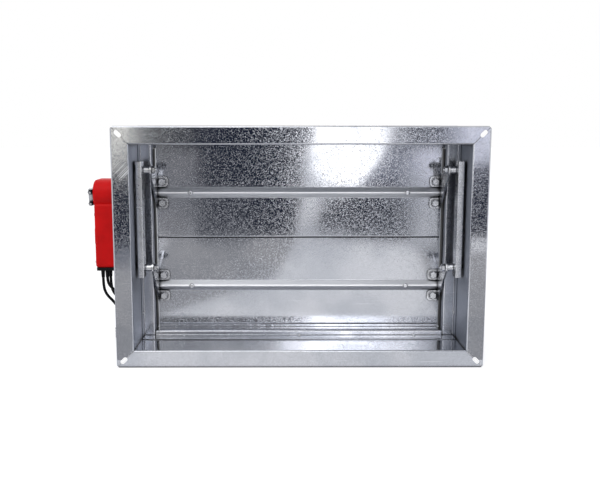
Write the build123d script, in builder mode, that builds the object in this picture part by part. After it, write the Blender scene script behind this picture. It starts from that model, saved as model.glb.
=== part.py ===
from build123d import *
import math
import os

# Millimetres. The origin is the middle of the front flange's opening, on the duct's axis:
# +X right, +Y into the duct, +Z up.

# Casing: four folded sides round the air duct
duct_width = 650.0
duct_height = 400.0
casing_length = 300.0
flange_width = 35.0
return_lip = 12.0
sheet = 1.5
bend_radius = 1.5
mitre_gap = 0.3
corner_clip = 5.0
slot_length = 16.0
slot_width = 8.5
slot_inset = 14.5

# Blade frame inside the casing: jambs at the sides, stops at the sill and the head
blade_axis_y = 150.0
jamb_width = 24.5
jamb_depth = 64.0
jamb_lip = 20.0
jamb_end_gap = 2.0
stop_height = 11.0
stop_depth = 34.0
stop_lip = 34.0
stop_gap = 0.5
stop_end_gap = 1.0
seal_thickness = 1.5
seal_width = 24.0

# Blades
blade_end_gap = 4.5
blade_edge_gap = 1.5
blade_overlap = 5.0
lap_gap = 0.8
joggle_heights = {"upper": 8.0, "lower": 17.5}

# Shafts and bearings
shaft_square = 12.0
shaft_seat_gap = 0.05
journal_diameter = 12.0
journal_gap = 0.05
journal_stub = 3.0
bush_diameter = 18.0
bush_flange_diameter = 26.0
bush_flange = 3.0
bush_proud = 1.0
fit_gap = 0.05

# Cranks and link bars
crank_plate = 3.0
crank_reach = 80.0
crank_rise = 51.0
crank_base = 66.0
crank_tip_radius = 11.0
crank_notch_gap = 1.0
ear_width = 24.0
ear_corner = 7.0
link_gap = 13.5
link_width = 12.0
link_depth = 30.0
link_wall = 1.5
link_overhang = 17.0
link_hole_gap = 0.1
pivot_diameter = 8.0
pivot_head_diameter = 13.0
pivot_head = 1.5
spacer_diameter = 14.0
side_play = 0.3

# Fasteners
bolt_diameter = 8.0
bolt_flats = 13.0
bolt_head = 5.3
washer_diameter = 17.0
washer_thickness = 1.6
nut_height = 6.5
thread_end = 2.5
head_rounding = 0.7
ridge_screw_diameter = 5.0
ridge_screw_head = 10.0
ridge_screw_head_height = 3.2
ridge_screw_pitch = 450.0
rivet_diameter = 4.0
rivet_head_diameter = 7.2
rivet_head = 1.2
rivet_tail = 1.0
rivet_inset = 7.0
jamb_rivet_pitch = 150.0
stop_rivet_pitch = 240.0
small_screw_diameter = 5.0
small_screw_head = 9.0
small_screw_head_height = 3.0

# Actuator on the left side, driving the upper shaft
actuator_standoff = 25.0
actuator_body_depth = 66.0
actuator_head_depth = 68.0
actuator_body_width = 96.0
actuator_head_width = 98.0
actuator_length = 179.3
actuator_head_rise = 28.0
actuator_head_length = 59.5
actuator_top_corner = 28.0
actuator_corner = 6.0
actuator_edge = 6.0
pad_rise = 47.3
pad_length = 35.0
pad_height = 1.0
pad_margin = 7.0
end_cap_height = 6.1
end_cap_inset = 1.0
hub_diameter = 22.0
hub_gap = 0.2
hub_proud = 0.4
dial_diameter = 58.0
dial_depth = 1.0
drive_stub = 14.5
cover_screw_diameter = 3.5
cover_screw_head = 7.0
cover_screw_head_height = 2.0
cover_screw_length = 12.0
cover_screw_inset = 11.0

# Spindle clamp on the upper shaft
clamp_angle = 11.0
clamp_rod = 5.0
clamp_pitch = 24.0
clamp_leg = 46.0
clamp_saddle_width = 34.0
clamp_saddle_depth = 12.0
clamp_nut_flats = 8.0
clamp_nut_height = 5.0
clamp_gap = 0.6

# Actuator bracket
bracket_sheet = 2.0
bracket_width = 60.0
bracket_end_inset = 8.4
bracket_foot = 18.0
bracket_screw_pitch = 36.0

# Heat sensor behind the actuator
sensor_setback = 85.0
sensor_z = -3.0
sensor_width = 42.0
sensor_height = 70.0
sensor_depth = 22.0
sensor_edge = 4.0
probe_diameter = 6.0
probe_length = 55.0
probe_gap = 0.2
button_diameter = 8.0
button_gap = 0.3
button_rise = 15.0
button_proud = 3.0
button_travel = 2.0
button_length = 9.0
sensor_screw_pitch = 58.0

# Cables: two long ones to the building, one short lead to the heat sensor
cable_diameter = 6.0
cable_pitch = 9.0
cable_exit_inset = 9.0
cable_exit_forward = 20.0
lead_shift_x = 12.5
lead_shift_y = 16.0
grommet_length = 18.0
grommet_top = 8.6
grommet_tip = 7.0
sensor_grommet_length = 8.0
arc_share = 0.45
coil_wall_gap = 2.5
coil_setback = 82.0
coil_inner_diameter = 60.0
coil_turns_high = 5
tie_thickness = 1.2
tie_width = 4.0
tie_gap = 0.2

# Worked out from the sizes above
half_width = duct_width / 2
half_height = duct_height / 2
outer_bend = bend_radius + sheet
floor_z = -half_height - flange_width
jamb_x = half_width - jamb_width
jamb_front_y = blade_axis_y - jamb_depth / 2
jamb_back_y = blade_axis_y + jamb_depth / 2
blade_half_length = jamb_x - blade_end_gap
blade_half_chord = (duct_height - 2 * blade_edge_gap + blade_overlap) / 4
blade_axis_z = blade_half_chord - blade_overlap / 2
joggle_step = sheet + lap_gap
ridge_height = (shaft_square / 2 + shaft_seat_gap + sheet) * math.sqrt(2)
ridge_crest = ridge_height - outer_bend * (math.sqrt(2) - 1)
sill_stop_y = blade_axis_y + joggle_step - stop_gap
head_stop_y = blade_axis_y + sheet + stop_gap
crank_notch = ridge_height + crank_notch_gap
ear_inner = crank_notch
ear_outer = crank_base / 2
ear_z = (ear_inner + ear_outer) / 2
ear_x = blade_half_length - ear_width / 2
link_inner_x = blade_half_length + link_gap
link_x = link_inner_x + link_width / 2
pivot_y = blade_axis_y - crank_reach
link_y = pivot_y + (link_width - link_depth) / 2
wall_outer_x = half_width + sheet
bush_inner_x = jamb_x - bush_proud
bush_outer_x = wall_outer_x + bush_flange
actuator_x = -(wall_outer_x + actuator_standoff)
body_face_x = actuator_x - actuator_body_depth
head_face_x = actuator_x - actuator_head_depth
drive_end_x = head_face_x - drive_stub
actuator_top_z = blade_axis_z + actuator_head_rise
actuator_head_z = actuator_top_z - actuator_head_length
actuator_bottom_z = actuator_top_z - actuator_length
end_cap_z = actuator_bottom_z - end_cap_height
pad_bottom_z = actuator_bottom_z + pad_rise
bracket_top_z = actuator_head_z - bracket_end_inset
bracket_bottom_z = actuator_bottom_z + bracket_end_inset
sensor_face_x = -(wall_outer_x + sensor_depth)
sensor_y = blade_axis_y + sensor_setback
cable_exit_x = body_face_x + cable_exit_inset
cable_exit_y = blade_axis_y - cable_exit_forward
coil_inner_radius = coil_inner_diameter / 2
coil_outer_radius = coil_inner_radius + cable_diameter
coil_height = coil_turns_high * cable_diameter
coil_z = floor_z + tie_thickness + tie_gap
coil_centre_x = -(wall_outer_x + coil_wall_gap + coil_outer_radius + cable_diameter / 2)
coil_centre_y = blade_axis_y + coil_setback
rivet_hole = rivet_diameter + 2 * fit_gap
bush_hole = bush_diameter + 2 * fit_gap
bolt_hole = bolt_diameter + 2 * link_hole_gap
small_screw_hole = small_screw_diameter + 2 * fit_gap
ridge_screw_hole = ridge_screw_diameter + 2 * fit_gap
wall_drill = 2 * sheet
jamb_rivet_z = [-jamb_rivet_pitch, 0, jamb_rivet_pitch]
jamb_rivet_y = [jamb_front_y - rivet_inset, jamb_back_y + rivet_inset]
stop_rivet_x = [-stop_rivet_pitch, 0, stop_rivet_pitch]
sill_rivet_y = sill_stop_y - stop_depth - rivet_inset
head_rivet_y = head_stop_y + stop_depth + rivet_inset
bracket_screw_z = [bracket_bottom_z - bracket_foot / 2, bracket_top_z + bracket_foot / 2]
bracket_screw_y = [blade_axis_y - bracket_screw_pitch / 2, blade_axis_y + bracket_screw_pitch / 2]
sensor_screw_z = [sensor_z - sensor_screw_pitch / 2, sensor_z + sensor_screw_pitch / 2]
button_z = sensor_z + button_rise
blade_sides = {"upper": blade_axis_z, "lower": -blade_axis_z}
end_signs = {"left": -1, "right": 1}

os.makedirs("parts", exist_ok=True)


def save(builder, name):
    """Label a finished piece and write it as its own file."""
    builder.part.label = name
    export_step(builder.part, f"parts/{name}.step")


def across(x):
    """Plane across the duct's width at x: its x is +Y and its y is +Z."""
    return Plane.YZ.offset(x)


def casing_side(outward, distance, half_length):
    """One folded side of the casing: web, two mitred flanges and their return lips."""
    along = Vector(0, 1, 0).cross(outward)
    origin = outward * distance
    section = Plane(origin=origin, x_dir=(0, 1, 0), z_dir=along)
    face = Plane(origin=origin, x_dir=along, z_dir=along.cross(outward))
    half_seam = mitre_gap / math.sqrt(2)
    reach = half_length + flange_width
    with BuildPart() as side:
        with BuildSketch(section):
            with BuildLine():
                FilletPolyline(
                    (return_lip, flange_width),
                    (0, flange_width),
                    (0, 0),
                    (casing_length, 0),
                    (casing_length, flange_width),
                    (casing_length - return_lip, flange_width),
                    radius=outer_bend,
                )
                offset(amount=sheet, side=Side.LEFT)
            make_face()
        extrude(amount=reach, both=True)
        with BuildSketch(face):
            with BuildLine():
                Polyline(
                    (half_length - sheet, -sheet),
                    (half_length + outer_bend, outer_bend),
                    (half_length + outer_bend - half_seam, outer_bend),
                    (reach - half_seam - corner_clip / 2, flange_width - corner_clip / 2),
                    (reach - corner_clip, flange_width),
                    (reach - corner_clip, flange_width + sheet),
                    (reach + sheet, flange_width + sheet),
                    (reach + sheet, -sheet),
                    close=True,
                )
            make_face()
            with Locations((reach - slot_inset, flange_width - slot_inset)):
                SlotOverall(slot_length, slot_width, rotation=45)
            mirror(about=Plane.YZ)
        extrude(amount=2 * casing_length, both=True, mode=Mode.SUBTRACT)
    return side


def drill(plane, points, diameter, depth):
    """Drill through holes at points of a plane, to both of its sides."""
    with BuildSketch(plane) as holes:
        with Locations(*points):
            Circle(diameter / 2)
    extrude(holes.sketch, amount=depth, both=True, mode=Mode.SUBTRACT)


def grid(rows, columns):
    """Every pair of one value of rows and one of columns."""
    return [(row, column) for row in rows for column in columns]


# Casing
with BuildPart() as casing_top:
    add(casing_side(Vector(0, 0, 1), half_height, half_width).part)
    drill(Plane.XY.offset(half_height), grid(stop_rivet_x, [head_rivet_y]), rivet_hole, wall_drill)
save(casing_top, "casing_top")

with BuildPart() as casing_bottom:
    add(casing_side(Vector(0, 0, -1), half_height, half_width).part)
    drill(Plane.XY.offset(-half_height), grid(stop_rivet_x, [sill_rivet_y]), rivet_hole, wall_drill)
save(casing_bottom, "casing_bottom")

for name, sign in end_signs.items():
    wall = across(sign * half_width)
    with BuildPart() as casing_wall:
        add(casing_side(Vector(sign, 0, 0), half_width, half_height).part)
        drill(wall, grid([blade_axis_y], blade_sides.values()), bush_hole, wall_drill)
        drill(wall, grid(jamb_rivet_y, jamb_rivet_z), rivet_hole, wall_drill)
        if name == "left":
            drill(wall, grid(bracket_screw_y, bracket_screw_z), small_screw_hole, wall_drill)
            drill(wall, grid([sensor_y], sensor_screw_z), small_screw_hole, wall_drill)
            drill(wall, [(sensor_y, sensor_z)], probe_diameter + 2 * probe_gap, wall_drill)
    save(casing_wall, f"casing_{name}")

# Jambs: a folded hat section down each side wall, with the bearings through it
jamb_lip_x = half_width - sheet
with BuildPart() as jamb_right:
    with BuildSketch(Plane.XY.offset(jamb_end_gap - half_height)):
        with BuildLine():
            FilletPolyline(
                (jamb_lip_x, jamb_front_y - jamb_lip),
                (jamb_lip_x, jamb_front_y),
                (jamb_x, jamb_front_y),
                (jamb_x, jamb_back_y),
                (jamb_lip_x, jamb_back_y),
                (jamb_lip_x, jamb_back_y + jamb_lip),
                radius=[bend_radius, outer_bend, outer_bend, bend_radius],
            )
            offset(amount=sheet, side=Side.RIGHT)
        make_face()
    extrude(amount=duct_height - 2 * jamb_end_gap)
    drill(across(jamb_x), grid([blade_axis_y], blade_sides.values()), bush_hole, wall_drill)
    drill(across(half_width), grid(jamb_rivet_y, jamb_rivet_z), rivet_hole, wall_drill)
save(jamb_right, "jamb_right")

with BuildPart() as jamb_left:
    mirror(jamb_right.part, about=Plane.YZ)
save(jamb_left, "jamb_left")

# Side seals: strips on the jambs that face the blade ends
seal_half_height = half_height - stop_height - stop_end_gap
with BuildPart() as side_seal_right:
    with BuildSketch(across(jamb_x - seal_thickness)):
        with Locations((blade_axis_y, 0)):
            Rectangle(seal_width, 2 * seal_half_height)
        with Locations(*grid([blade_axis_y], blade_sides.values())):
            Circle(bush_diameter / 2 + side_play, mode=Mode.SUBTRACT)
    extrude(amount=seal_thickness)
save(side_seal_right, "side_seal_right")

with BuildPart() as side_seal_left:
    mirror(side_seal_right.part, about=Plane.YZ)
save(side_seal_left, "side_seal_left")


def blade_stop(face_plane):
    """Folded stop: local x runs towards the blade and ends at it, local y away from the casing."""
    half_length = jamb_x - stop_end_gap
    with BuildPart() as stop:
        with BuildSketch(face_plane):
            with BuildLine():
                FilletPolyline(
                    (-stop_depth - stop_lip, sheet),
                    (-stop_depth, sheet),
                    (-stop_depth, stop_height),
                    (0, stop_height),
                    (0, blade_edge_gap),
                    radius=[bend_radius, outer_bend, outer_bend],
                )
                offset(amount=sheet, side=Side.RIGHT)
            make_face()
        extrude(amount=half_length, both=True)
        with BuildSketch(face_plane):
            with Locations((-stop_depth - sheet - stop_lip, 0)):
                Rectangle(stop_lip, sheet, align=(Align.MIN, Align.MIN))
        extrude(amount=half_width - 2 * sheet, both=True)
    return stop


sill_plane = Plane(origin=(0, sill_stop_y, -half_height), x_dir=(0, 1, 0), z_dir=(1, 0, 0))
with BuildPart() as sill_stop:
    add(blade_stop(sill_plane).part)
    drill(Plane.XY.offset(-half_height), grid(stop_rivet_x, [sill_rivet_y]), rivet_hole, wall_drill)
save(sill_stop, "sill_stop")

head_plane = Plane(origin=(0, head_stop_y, half_height), x_dir=(0, -1, 0), z_dir=(1, 0, 0))
with BuildPart() as head_stop:
    add(blade_stop(head_plane).part)
    drill(Plane.XY.offset(half_height), grid(stop_rivet_x, [head_rivet_y]), rivet_hole, wall_drill)
save(head_stop, "head_stop")


def headed_pin(head_diameter, head_height, shank_diameter, shank_length):
    """Round fastener: a head with a soft edge above z = 0 and a shank below it."""
    with BuildPart() as pin:
        with BuildSketch():
            Circle(head_diameter / 2)
        extrude(amount=head_height)
        fillet(pin.faces().sort_by(Axis.Z)[-1].edges(), head_height * head_rounding)
        with BuildSketch():
            Circle(shank_diameter / 2)
        extrude(amount=-shank_length)
    return pin


# Rivets that hold the jambs and stops to the casing, heads on the duct's inside
rivet = headed_pin(rivet_head_diameter, rivet_head, rivet_diameter, 2 * sheet + rivet_tail)
with BuildPart() as frame_rivets:
    for sign in end_signs.values():
        for y, z in grid(jamb_rivet_y, jamb_rivet_z):
            with Locations(Plane(origin=(sign * jamb_lip_x, y, z), z_dir=(-sign, 0, 0))):
                add(rivet.part)
    for x in stop_rivet_x:
        with Locations(Plane(origin=(x, sill_rivet_y, sheet - half_height), z_dir=(0, 0, 1))):
            add(rivet.part)
        with Locations(Plane(origin=(x, head_rivet_y, half_height - sheet), z_dir=(0, 0, -1))):
            add(rivet.part)
save(frame_rivets, "frame_rivets")

# Bearings: flanged bushes through the casing wall and the jamb
with BuildPart() as shaft_bearings:
    for sign in end_signs.values():
        with BuildSketch(across(sign * bush_inner_x)):
            with Locations(*grid([blade_axis_y], blade_sides.values())):
                Circle(bush_diameter / 2)
        extrude(amount=sign * (bush_outer_x - bush_inner_x))
        with BuildSketch(across(sign * wall_outer_x)):
            with Locations(*grid([blade_axis_y], blade_sides.values())):
                Circle(bush_flange_diameter / 2)
        extrude(amount=sign * bush_flange)
        with BuildSketch(across(sign * bush_inner_x)):
            with Locations(*grid([blade_axis_y], blade_sides.values())):
                Circle(journal_diameter / 2 + journal_gap)
        extrude(amount=sign * (bush_outer_x - bush_inner_x), mode=Mode.SUBTRACT)
save(shaft_bearings, "shaft_bearings")

# Blades: folded sheets with a ridge over the shaft and a set-back lower edge that laps the next blade
ridge_screw_x = [-ridge_screw_pitch / 2, ridge_screw_pitch / 2]
for level, axis_z in blade_sides.items():
    joggle_z = joggle_heights[level] - blade_half_chord
    with BuildPart() as blade:
        with BuildSketch(Plane(origin=(0, blade_axis_y, axis_z), x_dir=(0, 1, 0), z_dir=(1, 0, 0))):
            with BuildLine():
                FilletPolyline(
                    (0, blade_half_chord),
                    (0, ridge_height),
                    (-ridge_height, 0),
                    (0, -ridge_height),
                    (0, joggle_z),
                    (joggle_step, joggle_z - joggle_step),
                    (joggle_step, -blade_half_chord),
                    radius=[bend_radius, outer_bend, bend_radius, outer_bend, bend_radius],
                )
                offset(amount=sheet, side=Side.LEFT)
            make_face()
        extrude(amount=blade_half_length, both=True)
        front = Plane(origin=(0, blade_axis_y, axis_z), x_dir=(1, 0, 0), z_dir=(0, -1, 0))
        drill(front, grid([-ear_x, ear_x], [-ear_z, ear_z]), bolt_hole, wall_drill)
        drill(front, grid(ridge_screw_x, [0]), ridge_screw_hole, ridge_height)
    save(blade, f"blade_{level}")

# Shafts: square bars with round journals, the upper one drawn out to the actuator
journal_end_x = bush_outer_x + journal_stub
for level, axis_z in blade_sides.items():
    left_end_x = drive_end_x if level == "upper" else -journal_end_x
    with BuildPart() as shaft:
        with BuildSketch(across(-blade_half_length)):
            with Locations((blade_axis_y, axis_z)):
                RectangleRounded(shaft_square, shaft_square, bend_radius, rotation=45)
        extrude(amount=2 * blade_half_length)
        for start_x, end_x in ((blade_half_length, journal_end_x), (-blade_half_length, left_end_x)):
            with BuildSketch(across(start_x)):
                with Locations((blade_axis_y, axis_z)):
                    Circle(journal_diameter / 2)
            extrude(amount=end_x - start_x)
        front = Plane(origin=(0, blade_axis_y, axis_z), x_dir=(1, 0, 0), z_dir=(0, -1, 0))
        drill(front, grid(ridge_screw_x, [0]), ridge_screw_hole, shaft_square)
    save(shaft, f"shaft_{level}")

ridge_screw_length = ridge_crest + shaft_square / 2
ridge_screw = headed_pin(
    ridge_screw_head, ridge_screw_head_height, ridge_screw_diameter, ridge_screw_length
)
for level, axis_z in blade_sides.items():
    with BuildPart() as ridge_screws:
        for x in ridge_screw_x:
            with Locations(Plane(origin=(x, blade_axis_y - ridge_crest, axis_z), z_dir=(0, -1, 0))):
                add(ridge_screw.part)
    save(ridge_screws, f"ridge_screws_{level}")


def crank(axis_z, sign):
    """Crank on one end of a blade: an arm across the duct's wall and two ears on the blade's face."""
    plate_x = blade_half_length if sign > 0 else crank_plate - blade_half_length
    arm_plane = Plane(origin=(plate_x, blade_axis_y, axis_z), x_dir=(0, -1, 0), z_dir=(-1, 0, 0))
    ear_plane = Plane(origin=(0, blade_axis_y, axis_z), x_dir=(1, 0, 0), z_dir=(0, -1, 0))
    with BuildPart() as arm:
        with BuildSketch(arm_plane):
            with Locations((crank_reach, crank_rise)):
                Circle(crank_tip_radius)
            with Locations((crank_plate / 2, 0)):
                Rectangle(crank_plate, crank_base)
            make_hull()
            with BuildLine():
                Polyline(
                    (-sheet, -crank_notch - sheet),
                    (crank_notch, 0),
                    (-sheet, crank_notch + sheet),
                    close=True,
                )
            make_face(mode=Mode.SUBTRACT)
            with Locations((crank_reach, crank_rise)):
                Circle(pivot_diameter / 2 + fit_gap, mode=Mode.SUBTRACT)
        extrude(amount=crank_plate)
        with BuildSketch(ear_plane) as ears:
            with Locations(*grid([sign * ear_x], [-ear_z, ear_z])):
                Rectangle(ear_width, ear_outer - ear_inner)
            inner_corners = ears.vertices().group_by(Axis.X)[0 if sign > 0 else -1]
            fillet(inner_corners, ear_corner)
            with Locations(*grid([sign * ear_x], [-ear_z, ear_z])):
                Circle(bolt_hole / 2, mode=Mode.SUBTRACT)
        extrude(amount=crank_plate)
    return arm


for level, axis_z in blade_sides.items():
    for name, sign in end_signs.items():
        save(crank(axis_z, sign), f"crank_{level}_{name}")

# Crank bolts and nuts: flanged hexagon bolts through the ears and the blade
bolt_grip = crank_plate + sheet
with BuildPart() as bolt:
    Cylinder(washer_diameter / 2, washer_thickness, align=(Align.CENTER, Align.CENTER, Align.MIN))
    with BuildSketch(Plane.XY.offset(washer_thickness)):
        RegularPolygon(bolt_flats / 2, 6, major_radius=False)
    extrude(amount=bolt_head)
    chamfer(bolt.faces().sort_by(Axis.Z)[-1].edges(), bolt_head / 6)
    with BuildSketch():
        Circle(bolt_diameter / 2)
    extrude(amount=-(bolt_grip + nut_height + thread_end))

with BuildPart() as nut:
    with BuildSketch():
        RegularPolygon(bolt_flats / 2, 6, major_radius=False)
        Circle(bolt_diameter / 2 + fit_gap, mode=Mode.SUBTRACT)
    extrude(amount=nut_height)

for level, axis_z in blade_sides.items():
    places = grid([-ear_x, ear_x], [axis_z - ear_z, axis_z + ear_z])
    with BuildPart() as crank_bolts:
        for x, z in places:
            with Locations(Plane(origin=(x, blade_axis_y - crank_plate, z), z_dir=(0, -1, 0))):
                add(bolt.part)
    save(crank_bolts, f"crank_bolts_{level}")
    with BuildPart() as crank_nuts:
        for x, z in places:
            with Locations(Plane(origin=(x, blade_axis_y + sheet, z), z_dir=(0, 1, 0))):
                add(nut.part)
    save(crank_nuts, f"crank_nuts_{level}")

# Crank pivots, along the pin from the arm's inner face to the head outside the link bar
pivot_head_z = link_inner_x + link_width + side_play - (blade_half_length - crank_plate)
pivot_length = pivot_head_z + nut_height + thread_end
pivot_pin = headed_pin(pivot_head_diameter, pivot_head, pivot_diameter, pivot_length)
with BuildPart() as spacer:
    with BuildSketch():
        Circle(spacer_diameter / 2)
        Circle(pivot_diameter / 2 + fit_gap, mode=Mode.SUBTRACT)
    extrude(amount=link_gap - side_play)

for level, axis_z in blade_sides.items():
    pivot_z = axis_z + crank_rise
    with BuildPart() as pivot_bolts:
        for sign in end_signs.values():
            head_x = sign * (link_inner_x + link_width + side_play)
            with Locations(Plane(origin=(head_x, pivot_y, pivot_z), z_dir=(sign, 0, 0))):
                add(pivot_pin.part)
    save(pivot_bolts, f"pivot_bolts_{level}")
    with BuildPart() as pivot_nuts:
        for sign in end_signs.values():
            nut_x = sign * (blade_half_length - crank_plate)
            with Locations(Plane(origin=(nut_x, pivot_y, pivot_z), z_dir=(-sign, 0, 0))):
                add(nut.part)
    save(pivot_nuts, f"pivot_nuts_{level}")
    with BuildPart() as pivot_spacers:
        for sign in end_signs.values():
            with Locations(Plane(origin=(sign * blade_half_length, pivot_y, pivot_z), z_dir=(sign, 0, 0))):
                add(spacer.part)
    save(pivot_spacers, f"pivot_spacers_{level}")

# Link bars: tubes that join the upper and lower cranks
link_bottom_z = crank_rise - blade_axis_z - link_overhang
link_length = 2 * (blade_axis_z + link_overhang)
for name, sign in end_signs.items():
    with BuildPart() as link_bar:
        with BuildSketch(Plane.XY.offset(link_bottom_z)):
            with Locations((sign * link_x, link_y)):
                RectangleRounded(link_width, link_depth, link_wall)
                Rectangle(link_width - 2 * link_wall, link_depth - 2 * link_wall, mode=Mode.SUBTRACT)
        extrude(amount=link_length)
        pivots = grid([pivot_y], [crank_rise - blade_axis_z, crank_rise + blade_axis_z])
        drill(across(sign * link_x), pivots, pivot_diameter + 2 * link_hole_gap, link_width)
    save(link_bar, f"link_bar_{name}")

# Actuator housing: a moulded body with a thicker head round the drive hub
outer_face = Plane(origin=(actuator_x, blade_axis_y, 0), x_dir=(0, -1, 0), z_dir=(-1, 0, 0))


def moulding(width, bottom_z, top_z, depth, top_corner, bottom_corner):
    """Rounded block on the actuator's back plane, with a soft edge round its outer face."""
    with BuildPart() as block:
        with BuildSketch(outer_face) as outline:
            with Locations((0, (bottom_z + top_z) / 2)):
                Rectangle(width, top_z - bottom_z)
            if top_corner:
                fillet(outline.vertices().group_by(Axis.Z)[-1], top_corner)
            if bottom_corner:
                fillet(outline.vertices().group_by(Axis.Z)[0], bottom_corner)
        extrude(amount=depth)
        fillet(block.faces().sort_by(Axis.X)[0].edges(), actuator_edge)
    return block


cover_screw_y = (actuator_body_width / 2) - cover_screw_inset
cover_screw_z = [actuator_bottom_z + cover_screw_inset, actuator_head_z - cover_screw_inset]
hub_plane = Plane(origin=(actuator_x, blade_axis_y, blade_axis_z), x_dir=(0, -1, 0), z_dir=(-1, 0, 0))
with BuildPart() as actuator_housing:
    add(
        moulding(
            actuator_body_width,
            actuator_bottom_z,
            actuator_head_z + 2 * actuator_edge,
            actuator_body_depth,
            0,
            actuator_corner,
        ).part
    )
    add(
        moulding(
            actuator_head_width,
            actuator_head_z,
            actuator_top_z,
            actuator_head_depth,
            actuator_top_corner,
            0,
        ).part
    )
    with BuildSketch(outer_face.offset(actuator_body_depth)):
        with Locations((0, pad_bottom_z + pad_length / 2)):
            RectangleRounded(actuator_body_width - 2 * pad_margin, pad_length, actuator_corner)
    extrude(amount=pad_height)
    with BuildSketch(outer_face.offset(actuator_head_depth)):
        with Locations((0, blade_axis_z)):
            Circle(dial_diameter / 2)
    extrude(amount=-dial_depth, mode=Mode.SUBTRACT)
    with BuildSketch(hub_plane):
        Circle(hub_diameter / 2 + hub_gap)
    extrude(amount=actuator_head_depth, mode=Mode.SUBTRACT)
    with BuildSketch(outer_face.offset(actuator_body_depth)):
        with Locations(*grid([-cover_screw_y, cover_screw_y], cover_screw_z)):
            Circle(cover_screw_diameter / 2 + fit_gap)
    extrude(amount=-cover_screw_length, mode=Mode.SUBTRACT)
save(actuator_housing, "actuator_housing")

cover_screw = headed_pin(
    cover_screw_head, cover_screw_head_height, cover_screw_diameter, cover_screw_length - side_play
)
with BuildPart() as actuator_screws:
    for y, z in grid([blade_axis_y - cover_screw_y, blade_axis_y + cover_screw_y], cover_screw_z):
        with Locations(Plane(origin=(body_face_x, y, z), z_dir=(-1, 0, 0))):
            add(cover_screw.part)
save(actuator_screws, "actuator_screws")

with BuildPart() as actuator_end_cap:
    with BuildSketch(Plane.XY.offset(end_cap_z)):
        with Locations(((actuator_x + body_face_x) / 2, blade_axis_y)):
            RectangleRounded(
                actuator_body_depth - 2 * end_cap_inset,
                actuator_body_width - 2 * end_cap_inset,
                actuator_edge,
            )
    extrude(amount=end_cap_height)
save(actuator_end_cap, "actuator_end_cap")

# Drive hub: the sleeve that the actuator turns, on the upper shaft's drawn-out end
with BuildPart() as drive_hub:
    with BuildSketch(hub_plane):
        Circle(hub_diameter / 2)
        Circle(journal_diameter / 2 + fit_gap, mode=Mode.SUBTRACT)
    extrude(amount=actuator_head_depth + hub_proud)
save(drive_hub, "drive_hub")

# Spindle clamp: a U-bolt round the shaft, its saddle and two nuts, turned a little below level
clamp_x = head_face_x - clamp_gap - clamp_nut_flats / math.sqrt(3)
clamp_plane = Plane(
    origin=(clamp_x, blade_axis_y, blade_axis_z),
    x_dir=(0, -math.cos(math.radians(clamp_angle)), -math.sin(math.radians(clamp_angle))),
    z_dir=(-1, 0, 0),
)
clamp_half = clamp_pitch / 2
saddle_face = clamp_leg - clamp_nut_height - thread_end
saddle_back = saddle_face - clamp_saddle_depth
with BuildPart() as clamp_u_bolt:
    with BuildLine(clamp_plane) as u_path:
        leg_down = Line((clamp_leg, clamp_half), (0, clamp_half))
        turn = ThreePointArc((0, clamp_half), (-clamp_half, 0), (0, -clamp_half))
        leg_up = Line((0, -clamp_half), (clamp_leg, -clamp_half))
    with BuildSketch(Plane(origin=leg_down @ 0, z_dir=leg_down % 0)):
        Circle(clamp_rod / 2)
    sweep()
save(clamp_u_bolt, "clamp_u_bolt")

with BuildPart() as clamp_saddle:
    with BuildSketch(clamp_plane):
        with BuildLine():
            Polyline(
                (saddle_face, clamp_saddle_width / 2),
                (saddle_face, -clamp_saddle_width / 2),
                (saddle_back, -clamp_saddle_width / 2),
                (journal_diameter / 2, -journal_diameter / 4),
                (journal_diameter / 2, journal_diameter / 4),
                (saddle_back, clamp_saddle_width / 2),
                close=True,
            )
        make_face()
    extrude(amount=clamp_nut_flats / 2, both=True)
    with BuildSketch(Plane(origin=clamp_plane.origin, x_dir=clamp_plane.z_dir, z_dir=clamp_plane.x_dir)):
        with Locations((0, -clamp_half), (0, clamp_half)):
            Circle(clamp_rod / 2 + fit_gap)
    extrude(amount=clamp_leg, mode=Mode.SUBTRACT)
save(clamp_saddle, "clamp_saddle")

with BuildPart() as clamp_nuts:
    nut_plane = Plane(origin=clamp_plane.origin, x_dir=clamp_plane.z_dir, z_dir=clamp_plane.x_dir)
    with BuildSketch(nut_plane.offset(saddle_face)):
        with Locations((0, -clamp_half), (0, clamp_half)):
            RegularPolygon(clamp_nut_flats / 2, 6, major_radius=False)
            Circle(clamp_rod / 2 + fit_gap, mode=Mode.SUBTRACT)
    extrude(amount=clamp_nut_height)
save(clamp_nuts, "clamp_nuts")

# Actuator bracket: a folded hat between the casing wall and the actuator's back
bracket_plane = Plane(origin=(-wall_outer_x, blade_axis_y, 0), x_dir=(0, 0, 1), z_dir=(0, -1, 0))
with BuildPart() as actuator_bracket:
    with BuildSketch(bracket_plane):
        with BuildLine():
            FilletPolyline(
                (bracket_bottom_z - bracket_foot, bracket_sheet),
                (bracket_bottom_z, bracket_sheet),
                (bracket_bottom_z, actuator_standoff),
                (bracket_top_z, actuator_standoff),
                (bracket_top_z, bracket_sheet),
                (bracket_top_z + bracket_foot, bracket_sheet),
                radius=[bracket_sheet, 2 * bracket_sheet, 2 * bracket_sheet, bracket_sheet],
            )
            offset(amount=bracket_sheet, side=Side.RIGHT)
        make_face()
    extrude(amount=bracket_width / 2, both=True)
    drill(
        across(-wall_outer_x),
        grid(bracket_screw_y, bracket_screw_z),
        small_screw_hole,
        2 * bracket_sheet,
    )
save(actuator_bracket, "actuator_bracket")

bracket_screw = headed_pin(
    small_screw_head, small_screw_head_height, small_screw_diameter, bracket_sheet + 2 * sheet
)
with BuildPart() as bracket_screws:
    for y, z in grid(bracket_screw_y, bracket_screw_z):
        with Locations(Plane(origin=(-wall_outer_x - bracket_sheet, y, z), z_dir=(-1, 0, 0))):
            add(bracket_screw.part)
save(bracket_screws, "bracket_screws")

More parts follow.
